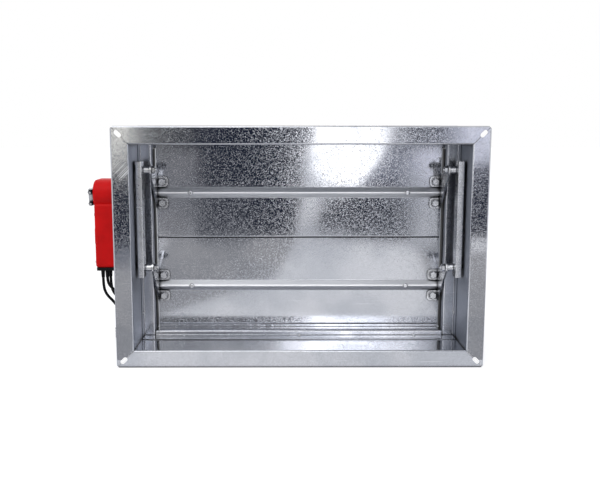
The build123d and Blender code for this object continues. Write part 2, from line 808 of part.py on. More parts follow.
# Heat sensor: a small box on the casing wall, with its probe in the duct and a test button
sensor_plane = Plane(origin=(-wall_outer_x, sensor_y, sensor_z), x_dir=(0, -1, 0), z_dir=(-1, 0, 0))
with BuildPart() as sensor_housing:
    with BuildSketch(sensor_plane):
        RectangleRounded(sensor_width, sensor_height, sensor_edge)
    extrude(amount=sensor_depth)
    fillet(sensor_housing.faces().sort_by(Axis.X)[0].edges(), sensor_edge / 2)
    with BuildSketch(sensor_plane.offset(sensor_depth)):
        with Locations((0, button_rise)):
            Circle(button_diameter / 2 + button_gap)
    extrude(amount=-button_length, mode=Mode.SUBTRACT)
    with BuildSketch(sensor_plane):
        with Locations((0, -sensor_screw_pitch / 2), (0, sensor_screw_pitch / 2)):
            Circle(small_screw_hole / 2)
    extrude(amount=sensor_depth, mode=Mode.SUBTRACT)
save(sensor_housing, "sensor_housing")

with BuildPart() as sensor_probe:
    with BuildSketch(across(-wall_outer_x)):
        with Locations((sensor_y, sensor_z)):
            Circle(probe_diameter / 2)
    extrude(amount=probe_length)
    fillet(sensor_probe.faces().sort_by(Axis.X)[-1].edges(), probe_diameter / 3)
save(sensor_probe, "sensor_probe")

with BuildPart() as sensor_button:
    with BuildSketch(across(sensor_face_x - button_proud)):
        with Locations((sensor_y, button_z)):
            Circle(button_diameter / 2)
    extrude(amount=button_length - side_play + button_proud - button_travel)
    fillet(sensor_button.faces().sort_by(Axis.X)[0].edges(), button_proud / 3)
save(sensor_button, "sensor_button")

sensor_screw = headed_pin(
    small_screw_head, small_screw_head_height, small_screw_diameter, sensor_depth + 2 * sheet
)
with BuildPart() as sensor_screws:
    for z in sensor_screw_z:
        with Locations(Plane(origin=(sensor_face_x, sensor_y, z), z_dir=(-1, 0, 0))):
            add(sensor_screw.part)
save(sensor_screws, "sensor_screws")

# Cable grommets: tapered, three under the actuator and one under the heat sensor
cable_exits = [
    (cable_exit_x, cable_exit_y),
    (cable_exit_x + cable_pitch, cable_exit_y),
    (cable_exit_x + lead_shift_x, cable_exit_y + lead_shift_y),
]
sensor_exit = (-wall_outer_x - sensor_depth / 2, sensor_y)
grommet_z = end_cap_z - grommet_length
sensor_bottom_z = sensor_z - sensor_height / 2
sensor_grommet_z = sensor_bottom_z - sensor_grommet_length


def grommet(centre, top_z, length):
    """Tapered sleeve that hangs from top_z."""
    with BuildPart() as sleeve:
        for z, diameter in ((top_z, grommet_top), (top_z - length, grommet_tip)):
            with BuildSketch(Plane.XY.offset(z)):
                with Locations(centre):
                    Circle(diameter / 2)
        loft()
    return sleeve


with BuildPart() as cable_grommets:
    for centre in cable_exits:
        add(grommet(centre, end_cap_z, grommet_length).part)
    add(grommet(sensor_exit, sensor_bottom_z, sensor_grommet_length).part)
save(cable_grommets, "cable_grommets")

# Cable routes, chosen by hand: from the grommets down to the coil, and round to the heat sensor
supply_route = [
    (*cable_exits[0], grommet_z),
    (*cable_exits[0], -98),
    (-403, 132, -115),
    (-391, 139, -130),
    (-382, 150, -148),
    (-380, 162, -168),
    (-381, 174, -184),
    (-379.5, 185, -195),
    (-373, 193, -202.5),
    (-361, 196.6, -206.6),
]
switch_route = [
    (*cable_exits[1], grommet_z),
    (*cable_exits[1], -87),
    (-394.5, 130.5, -97),
    (-385.5, 132, -105.5),
    (-373, 136, -114.5),
    (-358, 143, -127),
    (-346, 153, -143),
    (-340, 168, -160),
    (-338, 185, -175),
    (-337.5, 203, -188),
    (-337.6, 219, -196.5),
    (-338.6, 234, -202.5),
    (-343.4, 249.2, -206.6),
]
sensor_route = [
    (*cable_exits[2], grommet_z),
    (*cable_exits[2], -97),
    (-392, 151, -115),
    (-383, 164, -129),
    (-371, 182, -136),
    (-359, 202, -133),
    (-347, 221, -117),
    (-339, 233, -94),
    (*sensor_exit, -70),
    (*sensor_exit, sensor_grommet_z),
]


def route_radii(points):
    """Arc radius at each inner point: as large as the two runs beside it allow."""
    vectors = [Vector(*point) for point in points]
    runs = [end - start for start, end in zip(vectors, vectors[1:])]
    radii = []
    for first, second in zip(runs, runs[1:]):
        half_turn = math.radians(first.get_angle(second)) / 2
        radii.append(arc_share * min(first.length, second.length) / math.tan(half_turn))
    return radii


for name, route in (
    ("supply_cable", supply_route),
    ("switch_cable", switch_route),
    ("sensor_lead", sensor_route),
):
    radii = route_radii(route)
    with BuildPart() as cable:
        with BuildLine() as path:
            FilletPolyline(*route, radius=radii)
        with BuildSketch(Plane(origin=path.line @ 0, z_dir=path.line % 0)):
            Circle(cable_diameter / 2)
        sweep()
    save(cable, name)
    length = path.wire().length
    volume_share = cable.part.volume / (math.pi * cable_diameter**2 / 4 * length)
    print(name, "length", round(length, 1), "volume share", round(volume_share, 4))
    print(name, "radii", [round(radius, 1) for radius in radii])

# Put-away lengths: one round coil inside the other, held by a tie
for name, radius in (("switch_coil", coil_inner_radius), ("supply_coil", coil_outer_radius)):
    with BuildPart() as coil:
        with BuildSketch(Plane.XY.offset(coil_z)):
            with Locations((coil_centre_x, coil_centre_y)):
                Circle(radius + cable_diameter / 2)
                Circle(radius - cable_diameter / 2, mode=Mode.SUBTRACT)
        extrude(amount=coil_height)
    save(coil, name)

tie_inner = coil_outer_radius - coil_inner_radius + cable_diameter + 2 * tie_gap
tie_centre_y = coil_centre_y + (coil_inner_radius + coil_outer_radius) / 2
with BuildPart() as coil_tie:
    with BuildSketch(across(coil_centre_x)):
        with Locations((tie_centre_y, coil_z + coil_height / 2)):
            Rectangle(tie_inner + 2 * tie_thickness, coil_height + 2 * (tie_gap + tie_thickness))
            Rectangle(tie_inner, coil_height + 2 * tie_gap, mode=Mode.SUBTRACT)
    extrude(amount=tie_width / 2, both=True)
save(coil_tie, "coil_tie")
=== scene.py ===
import math

import bmesh
import bpy
from bpy.props import FloatProperty, FloatVectorProperty, IntProperty, PointerProperty
from bpy.types import Operator, Panel, PropertyGroup
from mathutils import Matrix, Vector


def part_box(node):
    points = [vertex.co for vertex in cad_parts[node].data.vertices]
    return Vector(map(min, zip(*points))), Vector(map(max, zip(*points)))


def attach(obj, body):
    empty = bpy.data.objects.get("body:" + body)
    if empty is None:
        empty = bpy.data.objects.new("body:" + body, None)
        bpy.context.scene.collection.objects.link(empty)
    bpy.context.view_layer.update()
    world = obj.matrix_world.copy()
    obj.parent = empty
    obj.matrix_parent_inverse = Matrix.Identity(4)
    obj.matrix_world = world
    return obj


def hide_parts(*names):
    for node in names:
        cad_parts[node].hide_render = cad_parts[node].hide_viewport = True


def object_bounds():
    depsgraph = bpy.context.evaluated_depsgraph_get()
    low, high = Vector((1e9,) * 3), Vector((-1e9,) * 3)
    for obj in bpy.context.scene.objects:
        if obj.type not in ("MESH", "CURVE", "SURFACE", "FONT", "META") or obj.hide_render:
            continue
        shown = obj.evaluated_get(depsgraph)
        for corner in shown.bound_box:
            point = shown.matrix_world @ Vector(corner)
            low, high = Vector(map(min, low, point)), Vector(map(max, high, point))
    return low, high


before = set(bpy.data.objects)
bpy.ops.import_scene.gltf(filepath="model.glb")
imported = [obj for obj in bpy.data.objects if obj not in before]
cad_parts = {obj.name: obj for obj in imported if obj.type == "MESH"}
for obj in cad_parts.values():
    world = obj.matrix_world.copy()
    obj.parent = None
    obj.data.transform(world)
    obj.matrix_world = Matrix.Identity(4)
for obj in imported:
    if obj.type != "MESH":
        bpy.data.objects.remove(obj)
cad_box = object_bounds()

bl_info = {
    "name": "Fire damper",
    "version": (1, 0, 0),
    "blender": (4, 5, 0),
    "location": "3D View > Sidebar > Fire damper",
    "description": "Finishes, cables and studio for a rectangular duct fire damper",
    "category": "Object",
}

# Cable routes in metres, from the grommets down to the coil, and round to the heat sensor
SUPPLY_ROUTE = [
    (-0.4085, 0.130, -0.0774),
    (-0.4085, 0.130, -0.098),
    (-0.403, 0.132, -0.115),
    (-0.391, 0.139, -0.130),
    (-0.382, 0.150, -0.148),
    (-0.380, 0.162, -0.168),
    (-0.381, 0.174, -0.184),
    (-0.3795, 0.185, -0.195),
    (-0.373, 0.193, -0.2025),
    (-0.361, 0.1966, -0.2066),
]
SWITCH_ROUTE = [
    (-0.3995, 0.130, -0.0774),
    (-0.3995, 0.130, -0.087),
    (-0.3945, 0.1305, -0.097),
    (-0.3855, 0.132, -0.1055),
    (-0.373, 0.136, -0.1145),
    (-0.358, 0.143, -0.127),
    (-0.346, 0.153, -0.143),
    (-0.340, 0.168, -0.160),
    (-0.338, 0.185, -0.175),
    (-0.3375, 0.203, -0.188),
    (-0.3376, 0.219, -0.1965),
    (-0.3386, 0.234, -0.2025),
    (-0.3434, 0.2492, -0.2066),
]
SENSOR_ROUTE = [
    (-0.396, 0.146, -0.0774),
    (-0.396, 0.146, -0.097),
    (-0.392, 0.151, -0.115),
    (-0.383, 0.164, -0.129),
    (-0.371, 0.182, -0.136),
    (-0.359, 0.202, -0.133),
    (-0.347, 0.221, -0.117),
    (-0.339, 0.233, -0.094),
    (-0.3375, 0.235, -0.070),
    (-0.3375, 0.235, -0.046),
]

# Lengths of the cables in metres
SUPPLY_LENGTH = 1.05
SWITCH_LENGTH = 0.96

# A cable's bare end in metres: each core's radius and length, its stripped copper's, how far the cores lie
# off the cable's axis and how far they start inside the sheath
CORE_RADIUS = 0.00095
CORE_REACH = 0.009
COPPER_RADIUS = 0.0006
COPPER_REACH = 0.005
CORE_OFFSET = 0.0013
CORE_OVERLAP = 0.002

# Nodes of each finish
SHEET_FRAME = ["casing_top", "casing_bottom", "casing_left", "casing_right"]
SHEET_INNER = ["jamb_left", "jamb_right", "sill_stop", "head_stop"]
BLADES = ["blade_upper", "blade_lower"]
LINK_BARS = ["link_bar_left", "link_bar_right"]
CRANKS = ["crank_upper_left", "crank_upper_right", "crank_lower_left", "crank_lower_right"]
FASTENERS = [
    "crank_bolts_upper", "crank_bolts_lower", "crank_nuts_upper", "crank_nuts_lower",
    "pivot_bolts_upper", "pivot_bolts_lower", "pivot_nuts_upper", "pivot_nuts_lower",
    "pivot_spacers_upper", "pivot_spacers_lower", "ridge_screws_upper", "ridge_screws_lower",
    "frame_rivets", "bracket_screws", "sensor_screws", "actuator_screws",
]
SHAFTS = ["shaft_upper", "shaft_lower"]
SEALS = ["side_seal_left", "side_seal_right"]
CLAMP = ["clamp_u_bolt", "clamp_saddle"]

# Places on the sheet in metres: the left flange's scratches, the blades' ridges above and below the duct's
# axis, where a painted highlight goes, the flange's mitres, the lower blade's edge above the sill stop that
# is left without painted shade, and the heights under which the blades and other sheet have no painted shade
SCUFF_PLACE = (-0.341, 0.0, 0.152)
RIDGE_HEIGHT = sum(corner.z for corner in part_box("shaft_upper")) / 2
MITRE_OFFSET = cad_box[1].x - cad_box[1].z
UNSHADED_EDGE = 0.017
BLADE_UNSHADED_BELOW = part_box("sill_stop")[1].z + UNSHADED_EDGE
SHADED_EVERYWHERE = -1.0

# Levels between which each mark fades: noise, openness or slant from 0 to 1, or metres
PATCH_FADE = (0.4, 0.62)
SCRATCH_FADE = (0.52, 0.6)
DRAG_FADE = (0.66, 0.74)
GRAIN_FADE = (0.25, 0.75)
OPEN_FADE = (0.42, 0.92)
UPWARD_FADE = (0.3, 0.95)
SIDEWAYS_FADE = (0.5, 0.9)
SEAM_FADE = (0.0003, 0.0011)
SCUFF_FADE = (0.006, 0.024)
RIDGE_FADE = (0.0095, 0.011)

# Noise cells a metre: scratches across, drag marks along X, Y and Z, a moulding's drift of tone, and dust
SCRATCH_COUNT = 260.0
DRAG_COUNT = (9.0, 420.0, 420.0)
DRIFT_COUNT = 24.0
DUST_COUNT = 60.0

# Tones of the darkest and the lightest crystals or grains, and the crystals that frost begins at
SHEET_TONES = (0.92, 1.08)
PLATE_TONES = (0.97, 1.03)
MOULDED_TONES = (0.9, 1.1)
FROST_START = 0.4

# A crystal's lean, which few crystals have much of: the power of its tone, and the colour that leans no way
LEAN_POWER = 2.5
LEVEL_COLOUR = (0.5, 0.5, 0.5)

# Colours of the marks: near-black for dirt in the mitre seams and for painted shade in corners, a painted
# highlight for the blades' ridges, and painted shade for the upright walls, besides dust and wear
DIRT_AND_SHADE = (0.025, 0.026, 0.032)
DUST = (0.42, 0.41, 0.4)
RIDGE_HIGHLIGHT = (0.82, 0.83, 0.86)
RUBBED = (0.62, 0.63, 0.66)
SCRATCHED = (0.72, 0.73, 0.75)
SHADED_WALL = (0.23, 0.26, 0.33)

# Roughness that the marks add to galvanised sheet and to plate, and the grain to mouldings
PATCH_ROUGHNESS = 0.04
SCUFF_ROUGHNESS = 0.35
RIDGE_ROUGHNESS = 0.3
WALL_ROUGHNESS = 0.3
DRAG_ROUGHNESS = 0.15
CLOUD_ROUGHNESS = 0.06
GRAIN_ROUGHNESS = 0.16

# Plated metal's clouds, crystals and painted shade in corners: sizes in metres, the tone of a cloud and the
# tilt of a crystal
CLOUD_SIZE = 0.018
CLOUD_TONE = 0.8
PLATE_CRYSTAL_SIZE = 0.0012
PLATE_CRYSTAL_TILT = 0.008
PLATE_SHADE_REACH = 0.006

# Strength of a moulding's bump
GRAIN_STRENGTH = 0.6

# Sockets of the Mix node by number, because their names repeat for each kind of value
MIX_SHARE = 0
MIX_FIRST = 6
MIX_SECOND = 7
MIX_COLOUR = 2


class DamperFinishes(PropertyGroup):
    """Colours and grain of the damper's materials."""

    zinc_bright: FloatVectorProperty(
        name="Bright zinc",
        description="Colour of clean galvanised sheet",
        subtype="COLOR",
        default=(0.50, 0.51, 0.545),
        min=0,
        max=1,
    )
    zinc_dull: FloatVectorProperty(
        name="Dull zinc",
        description="Colour of the duller patches of the sheet",
        subtype="COLOR",
        default=(0.41, 0.425, 0.465),
        min=0,
        max=1,
    )
    zinc_roughness: FloatProperty(
        name="Zinc roughness",
        description="Roughness of the galvanised sheet between its crystals",
        subtype="FACTOR",
        default=0.068,
        min=0.03,
        max=1,
    )
    crystal_size: FloatProperty(
        name="Spangle size",
        description="Width of one zinc crystal",
        default=0.0015,
        unit="LENGTH",
    )
    crystal_tilt: FloatProperty(
        name="Spangle tilt",
        description="How far a crystal leans out of the sheet's plane",
        subtype="FACTOR",
        default=0.06,
        min=0,
        max=1,
    )
    crystal_frost: FloatProperty(
        name="Spangle frost",
        description="Roughness that the dullest crystals have beyond the bright ones",
        subtype="FACTOR",
        default=0.17,
        min=0,
        max=1,
    )
    plate_colour: FloatVectorProperty(
        name="Zinc plate",
        description="Colour of plated cranks, bars and fasteners",
        subtype="COLOR",
        default=(0.66, 0.67, 0.7),
        min=0,
        max=1,
    )
    red_colour: FloatVectorProperty(
        name="Actuator red",
        description="Colour of the actuator's moulded housing",
        subtype="COLOR",
        default=(0.76, 0.006, 0.007),
        min=0,
        max=1,
    )
    black_colour: FloatVectorProperty(
        name="Black",
        description="Colour of the black mouldings and cable sheath",
        subtype="COLOR",
        default=(0.008, 0.008, 0.009),
        min=0,
        max=1,
    )


class DamperCables(PropertyGroup):
    """Sizes of the cables and of the coil that their spare length makes."""

    diameter: FloatProperty(
        name="Cable",
        description="Outside diameter of each cable",
        default=0.006,
        unit="LENGTH",
    )
    supply_turns: FloatProperty(
        name="Supply turns",
        description="Turns of the supply cable in the coil",
        subtype="UNSIGNED",
        default=3.95,
        min=1,
    )
    switch_turns: FloatProperty(
        name="Switch turns",
        description="Turns of the switch cable in the coil",
        subtype="UNSIGNED",
        default=4.0,
        min=1,
    )
    turn_points: IntProperty(
        name="Points a turn",
        description="Spline points in one turn of the coil",
        subtype="UNSIGNED",
        default=16,
        min=12,
    )


class DamperStage(PropertyGroup):
    """Studio round the damper: floor, light and view."""

    floor_colour: FloatVectorProperty(
        name="Floor",
        description="Colour of the plain floor",
        subtype="COLOR",
        default=(0.62, 0.62, 0.63),
        min=0,
        max=1,
    )
    floor_glow: FloatProperty(
        name="Floor glow",
        description="Light of the floor's own that brings it to white",
        subtype="UNSIGNED",
        default=0.69,
        min=0,
    )
    sky_strength: FloatProperty(
        name="Fill",
        description="Strength of the even light from all round",
        subtype="UNSIGNED",
        default=0.55,
        min=0,
    )
    key_power: FloatProperty(
        name="Key",
        description="Power of the large lamp above the front",
        default=34.0,
        min=0,
        unit="POWER",
    )
    window_power: FloatProperty(
        name="Window",
        description="Power of the tall lamp that shows in the sheet",
        default=6.5,
        min=0,
        unit="POWER",
    )
    lens: FloatProperty(
        name="Lens",
        description="Focal length in millimetres",
        default=50.0,
        min=10,
        unit="CAMERA",
    )


def add_node(tree, kind, sockets=None, **settings):
    """New shader node, with its settings and with its inputs set or linked."""
    made = tree.nodes.new(kind)
    for name, value in settings.items():
        setattr(made, name, value)
    for name, value in (sockets or {}).items():
        if isinstance(value, bpy.types.NodeSocket):
            tree.links.new(value, made.inputs[name])
        else:
            made.inputs[name].default_value = value
    return made


def calculate(tree, operation, *values):
    """Result of a Math node on values or sockets."""
    return add_node(tree, "ShaderNodeMath", dict(enumerate(values)), operation=operation).outputs[0]


def span(tree, value, low, high, to_low=0.0, to_high=1.0):
    """A value's range from low to high, carried smoothly to another range."""
    sockets = {
        "Value": value, "From Min": low, "From Max": high, "To Min": to_low, "To Max": to_high,
    }
    made = add_node(tree, "ShaderNodeMapRange", sockets, interpolation_type="SMOOTHSTEP")
    return made.outputs["Result"]


def blend(tree, share, first, second):
    """Colour between two colours, each a socket or three parts."""
    sockets = {MIX_SHARE: share}
    for index, colour in ((MIX_FIRST, first), (MIX_SECOND, second)):
        sockets[index] = colour if isinstance(colour, bpy.types.NodeSocket) else (*colour, 1)
    return add_node(tree, "ShaderNodeMix", sockets, data_type="RGBA").outputs[MIX_COLOUR]


def reckon(tree, operation, *vectors):
    """Outputs of a Vector Math node on vectors or sockets."""
    return add_node(tree, "ShaderNodeVectorMath", dict(enumerate(vectors)), operation=operation).outputs


def scaled(tree, vector, factor):
    """Vector or colour times a factor."""
    sockets = {"Vector": vector, "Scale": factor}
    return add_node(tree, "ShaderNodeVectorMath", sockets, operation="SCALE").outputs["Vector"]


def object_place(tree):
    """Place on the object itself, which moves with it."""
    return add_node(tree, "ShaderNodeTexCoord").outputs["Object"]


def surface_normal(tree):
    """Way that the surface faces."""
    return add_node(tree, "ShaderNodeNewGeometry").outputs["Normal"]


def parts_of(tree, vector):
    """X, Y and Z of a vector."""
    return add_node(tree, "ShaderNodeSeparateXYZ", {"Vector": vector}).outputs


def noise(tree, sockets, dimensions="3D"):
    """Noise from 0 to 1."""
    return add_node(tree, "ShaderNodeTexNoise", sockets, noise_dimensions=dimensions).outputs["Fac"]


def new_group(name, inputs, outputs):
    """Shader node group with named value inputs, and outputs of the kinds given."""
    group = bpy.data.node_groups.new(name, "ShaderNodeTree")
    for label, value in inputs.items():
        socket = group.interface.new_socket(label, in_out="INPUT", socket_type="NodeSocketFloat")
        socket.default_value = value
    for label, kind in outputs.items():
        group.interface.new_socket(label, in_out="OUTPUT", socket_type=f"NodeSocket{kind}")
    entry = group.nodes.new("NodeGroupInput")
    result = group.nodes.new("NodeGroupOutput")
    return group, entry.outputs, result.inputs


def use_group(tree, builder, **values):
    """Outputs of a shared node group, built on its first use, with this material's own values."""
    name = builder.__name__.replace("_", " ")
    group = bpy.data.node_groups.get(name) or builder(name)
    made = tree.nodes.new("ShaderNodeGroup")
    made.node_tree = group
    for label, value in values.items():
        made.inputs[label.replace("_", " ")].default_value = value
    return made.outputs


def zinc_spangle(name):
    """Crystals of a zinc coat: a tone for each, and a normal that leans its own way."""
    group, entry, result = new_group(
        name, {"size": 0.003, "tilt": 0.05}, {"Tone": "Float", "Normal": "Vector"}
    )
    count = calculate(group, "DIVIDE", 1.0, entry["size"])
    cells = add_node(
        group, "ShaderNodeTexVoronoi", {"Vector": scaled(group, object_place(group), count), "Scale": 1.0}
    ).outputs["Color"]
    tone = add_node(group, "ShaderNodeSeparateColor", {"Color": cells}).outputs["Red"]
    steep = calculate(group, "MULTIPLY", calculate(group, "POWER", tone, LEAN_POWER), entry["tilt"])
    lean = scaled(group, reckon(group, "SUBTRACT", cells, LEVEL_COLOUR)["Vector"], steep)
    leaned = reckon(group, "ADD", lean, surface_normal(group))["Vector"]
    group.links.new(tone, result["Tone"])
    group.links.new(reckon(group, "NORMALIZE", leaned)["Vector"], result["Normal"])
    return group


def soft_patches(name):
    """Large soft patches, from 0 to 1."""
    group, entry, result = new_group(name, {"size": 0.1, "seed": 0.0}, {"Mask": "Float"})
    sockets = {
        "Vector": object_place(group),
        "Scale": calculate(group, "DIVIDE", 1.0, entry["size"]),
        "Detail": 3.0,
        "Roughness": 0.5,
        "W": entry["seed"],
    }
    group.links.new(span(group, noise(group, sockets, "4D"), *PATCH_FADE), result["Mask"])
    return group


def sheet_waves(name):
    """Height of the shallow waves that rolled sheet keeps, from 0 to 1."""
    group, entry, result = new_group(name, {"length": 0.15, "seed": 0.0}, {"Height": "Float"})
    sockets = {
        "Vector": object_place(group),
        "Scale": calculate(group, "DIVIDE", 1.0, entry["length"]),
        "Detail": 1.0,
        "Roughness": 0.35,
        "W": entry["seed"],
    }
    group.links.new(noise(group, sockets, "4D"), result["Height"])
    return group


def mitre_seams(name):
    """Dirt in the flange's mitred corners, from 0 to the amount: the lines where the four sides meet."""
    group, entry, result = new_group(name, {"amount": 1.0}, {"Mask": "Float"})
    parts = parts_of(group, object_place(group))
    across = calculate(group, "ABSOLUTE", parts["X"])
    upward = calculate(group, "ABSOLUTE", parts["Z"])
    apart = calculate(group, "SUBTRACT", calculate(group, "SUBTRACT", across, upward), MITRE_OFFSET)
    near = span(group, calculate(group, "ABSOLUTE", apart), *SEAM_FADE, 1.0, 0.0)
    group.links.new(calculate(group, "MULTIPLY", near, entry["amount"]), result["Mask"])
    return group


def flange_scuffs(name):
    """Short slanting scratches on the left flange, from 0 to the amount."""
    group, entry, result = new_group(name, {"amount": 1.0}, {"Mask": "Float"})
    place = object_place(group)
    away = reckon(group, "DISTANCE", place, SCUFF_PLACE)["Value"]
    near = span(group, away, *SCUFF_FADE, 1.0, 0.0)
    parts = parts_of(group, place)
    across = calculate(group, "SUBTRACT", parts["X"], parts["Z"])
    lines = span(group, noise(group, {"W": across, "Scale": SCRATCH_COUNT}, "1D"), *SCRATCH_FADE)
    scratched = calculate(group, "MULTIPLY", near, lines)
    group.links.new(calculate(group, "MULTIPLY", scratched, entry["amount"]), result["Mask"])
    return group


def handling_marks(name):
    """Fine drag marks along the sheet, from 0 to the amount."""
    group, entry, result = new_group(name, {"amount": 0.5, "seed": 0.0}, {"Mask": "Float"})
    drawn = reckon(group, "MULTIPLY", object_place(group), DRAG_COUNT)["Vector"]
    lines = noise(group, {"Vector": drawn, "Scale": 1.0, "Detail": 1.0, "W": entry["seed"]}, "4D")
    marks = span(group, lines, *DRAG_FADE)
    group.links.new(calculate(group, "MULTIPLY", marks, entry["amount"]), result["Mask"])
    return group


def moulded_grain(name):
    """Fine spark-eroded grain of a moulding: its height and a faint tone."""
    group, entry, result = new_group(name, {"size": 0.0006}, {"Height": "Float", "Tone": "Float"})
    place = object_place(group)
    count = calculate(group, "DIVIDE", 1.0, entry["size"])
    group.links.new(noise(group, {"Vector": place, "Scale": count, "Detail": 2.0}), result["Height"])
    group.links.new(noise(group, {"Vector": place, "Scale": DRIFT_COUNT, "Detail": 3.0}), result["Tone"])
    return group


def settled_dust(name):
    """Dust on what faces up, from 0 to the amount."""
    group, entry, result = new_group(name, {"amount": 0.3}, {"Mask": "Float"})
    specks = noise(group, {"Vector": object_place(group), "Scale": DUST_COUNT, "Detail": 4.0})
    upward = parts_of(group, surface_normal(group))["Z"]
    lying = calculate(group, "MULTIPLY", span(group, upward, *UPWARD_FADE), specks)
    group.links.new(calculate(group, "MULTIPLY", lying, entry["amount"]), result["Mask"])
    return group


def side_walls(name):
    """Faces that stand upright along the duct, from 0 to the amount."""
    group, entry, result = new_group(name, {"amount": 1.0}, {"Mask": "Float"})
    across = parts_of(group, surface_normal(group))["X"]
    sideways = span(group, calculate(group, "ABSOLUTE", across), *SIDEWAYS_FADE)
    group.links.new(calculate(group, "MULTIPLY", sideways, entry["amount"]), result["Mask"])
    return group


def blade_ridges(name):
    """Drawn ridges along the middle of the blades, from 0 to the amount: where a painted highlight goes."""
    group, entry, result = new_group(name, {"amount": 1.0}, {"Mask": "Float"})
    height = parts_of(group, object_place(group))["Z"]
    away = calculate(group, "SUBTRACT", calculate(group, "ABSOLUTE", height), RIDGE_HEIGHT)
    drawn = span(group, calculate(group, "ABSOLUTE", away), *RIDGE_FADE, 1.0, 0.0)
    group.links.new(calculate(group, "MULTIPLY", drawn, entry["amount"]), result["Mask"])
    return group


def painted_crevice_shade(name):
    """Painted shade in corners and round fasteners, from 0 to 1, above a height."""
    group, entry, result = new_group(
        name, {"reach": 0.016, "clean below": SHADED_EVERYWHERE}, {"Mask": "Float"}
    )
    open_share = add_node(
        group, "ShaderNodeAmbientOcclusion", {"Distance": entry["reach"]}, samples=8
    ).outputs["AO"]
    closed = span(group, open_share, *OPEN_FADE, 1.0, 0.0)
    height = parts_of(group, object_place(group))["Z"]
    above = calculate(group, "GREATER_THAN", height, entry["clean below"])
    group.links.new(calculate(group, "MULTIPLY", closed, above), result["Mask"])
    return group


def new_material(name, metallic, roughness):
    """Material with a Principled shader, its plain values set on the shader itself."""
    material = bpy.data.materials.new(f"damper_{name}")
    material.use_nodes = True
    tree = material.node_tree
    shader = tree.nodes["Principled BSDF"]
    shader.inputs["Metallic"].default_value = metallic
    shader.inputs["Roughness"].default_value = roughness
    return material, tree, shader.inputs


def galvanised(
    name,
    seed,
    wave_length,
    wave_depth,
    patch_size,
    crystal_share,
    shade_reach,
    dulling=0.0,
    wall_shade_and_dulling=0.0,
    flange_marks=0.0,
    ridge_share=0.0,
    clean_below=SHADED_EVERYWHERE,
):
    """Galvanised sheet: spangle, dull patches, shallow waves, drag marks, painted shade in corners and on
    upright walls, and a painted highlight on the ridges.
    """
    finishes = bpy.context.scene.damper_finishes
    material, tree, shader = new_material(name, 1.0, finishes.zinc_roughness)
    tilt = finishes.crystal_tilt * crystal_share
    frost = finishes.crystal_frost * crystal_share
    crystals = use_group(tree, zinc_spangle, size=finishes.crystal_size, tilt=tilt)
    patches = use_group(tree, soft_patches, size=patch_size, seed=seed)["Mask"]
    waves = use_group(tree, sheet_waves, length=wave_length, seed=seed)["Height"]
    marks = use_group(tree, handling_marks, amount=0.5, seed=seed)["Mask"]
    walls = use_group(tree, side_walls, amount=wall_shade_and_dulling)["Mask"]
    sheet = blend(tree, patches, finishes.zinc_bright, finishes.zinc_dull)
    toned = scaled(tree, sheet, span(tree, crystals["Tone"], 0.0, 1.0, *SHEET_TONES))
    ridges = use_group(tree, blade_ridges, amount=ridge_share)["Mask"]
    # Painted highlight: the ridges are lightened, besides the roughness that they add below
    highlighted = blend(tree, ridges, toned, RIDGE_HIGHLIGHT)
    marked = blend(tree, marks, highlighted, RUBBED)
    # Painted shade: upright walls are blended towards a dark blue-grey, as well as made rougher below
    walled = blend(tree, walls, marked, SHADED_WALL)
    scuffs = use_group(tree, flange_scuffs, amount=flange_marks)["Mask"]
    scuffed = blend(tree, scuffs, walled, SCRATCHED)
    seams = use_group(tree, mitre_seams, amount=flange_marks)["Mask"]
    seamed = blend(tree, seams, scuffed, DIRT_AND_SHADE)
    # Painted shade: ambient occlusion darkens corners, gaps and the sheet round fasteners towards near-black
    corner_shade = use_group(tree, painted_crevice_shade, reach=shade_reach, clean_below=clean_below)["Mask"]
    tree.links.new(blend(tree, corner_shade, seamed, DIRT_AND_SHADE), shader["Base Color"])
    smooth = finishes.zinc_roughness + dulling
    rough = calculate(tree, "MULTIPLY_ADD", patches, PATCH_ROUGHNESS, smooth)
    frosted = span(tree, crystals["Tone"], FROST_START, 1.0, 0.0, frost)
    rough = calculate(tree, "ADD", rough, frosted)
    rough = calculate(tree, "MULTIPLY_ADD", scuffs, SCUFF_ROUGHNESS, rough)
    rough = calculate(tree, "MULTIPLY_ADD", ridges, RIDGE_ROUGHNESS, rough)
    rough = calculate(tree, "MULTIPLY_ADD", walls, WALL_ROUGHNESS, rough)
    tree.links.new(rough, shader["Roughness"])
    bump = add_node(
        tree,
        "ShaderNodeBump",
        {"Strength": 1.0, "Distance": wave_depth, "Height": waves, "Normal": crystals["Normal"]},
    )
    tree.links.new(bump.outputs["Normal"], shader["Normal"])
    return material


def galvanised_casing():
    """Sheet of the casing's four sides, duller on the upright walls than on the flanges, with painted shade
    there.
    """
    return galvanised(
        "galvanised_casing",
        seed=3.0,
        wave_length=0.16,
        wave_depth=0.0012,
        patch_size=0.11,
        crystal_share=0.85,
        shade_reach=0.009,
        wall_shade_and_dulling=0.8,
        flange_marks=1.0,
    )


def galvanised_blade():
    """Sheet of the blades."""
    return galvanised(
        "galvanised_blade",
        seed=7.4,
        wave_length=0.2,
        wave_depth=0.0016,
        patch_size=0.16,
        crystal_share=1.0,
        shade_reach=0.008,
        ridge_share=1.0,
        clean_below=BLADE_UNSHADED_BELOW,
    )


def galvanised_rail():
    """Sheet of the jambs and stops, with painted shade on their upright faces."""
    return galvanised(
        "galvanised_rail",
        seed=11.2,
        wave_length=0.12,
        wave_depth=0.0006,
        patch_size=0.09,
        crystal_share=0.25,
        shade_reach=0.004,
        dulling=0.08,
        wall_shade_and_dulling=0.6,
    )


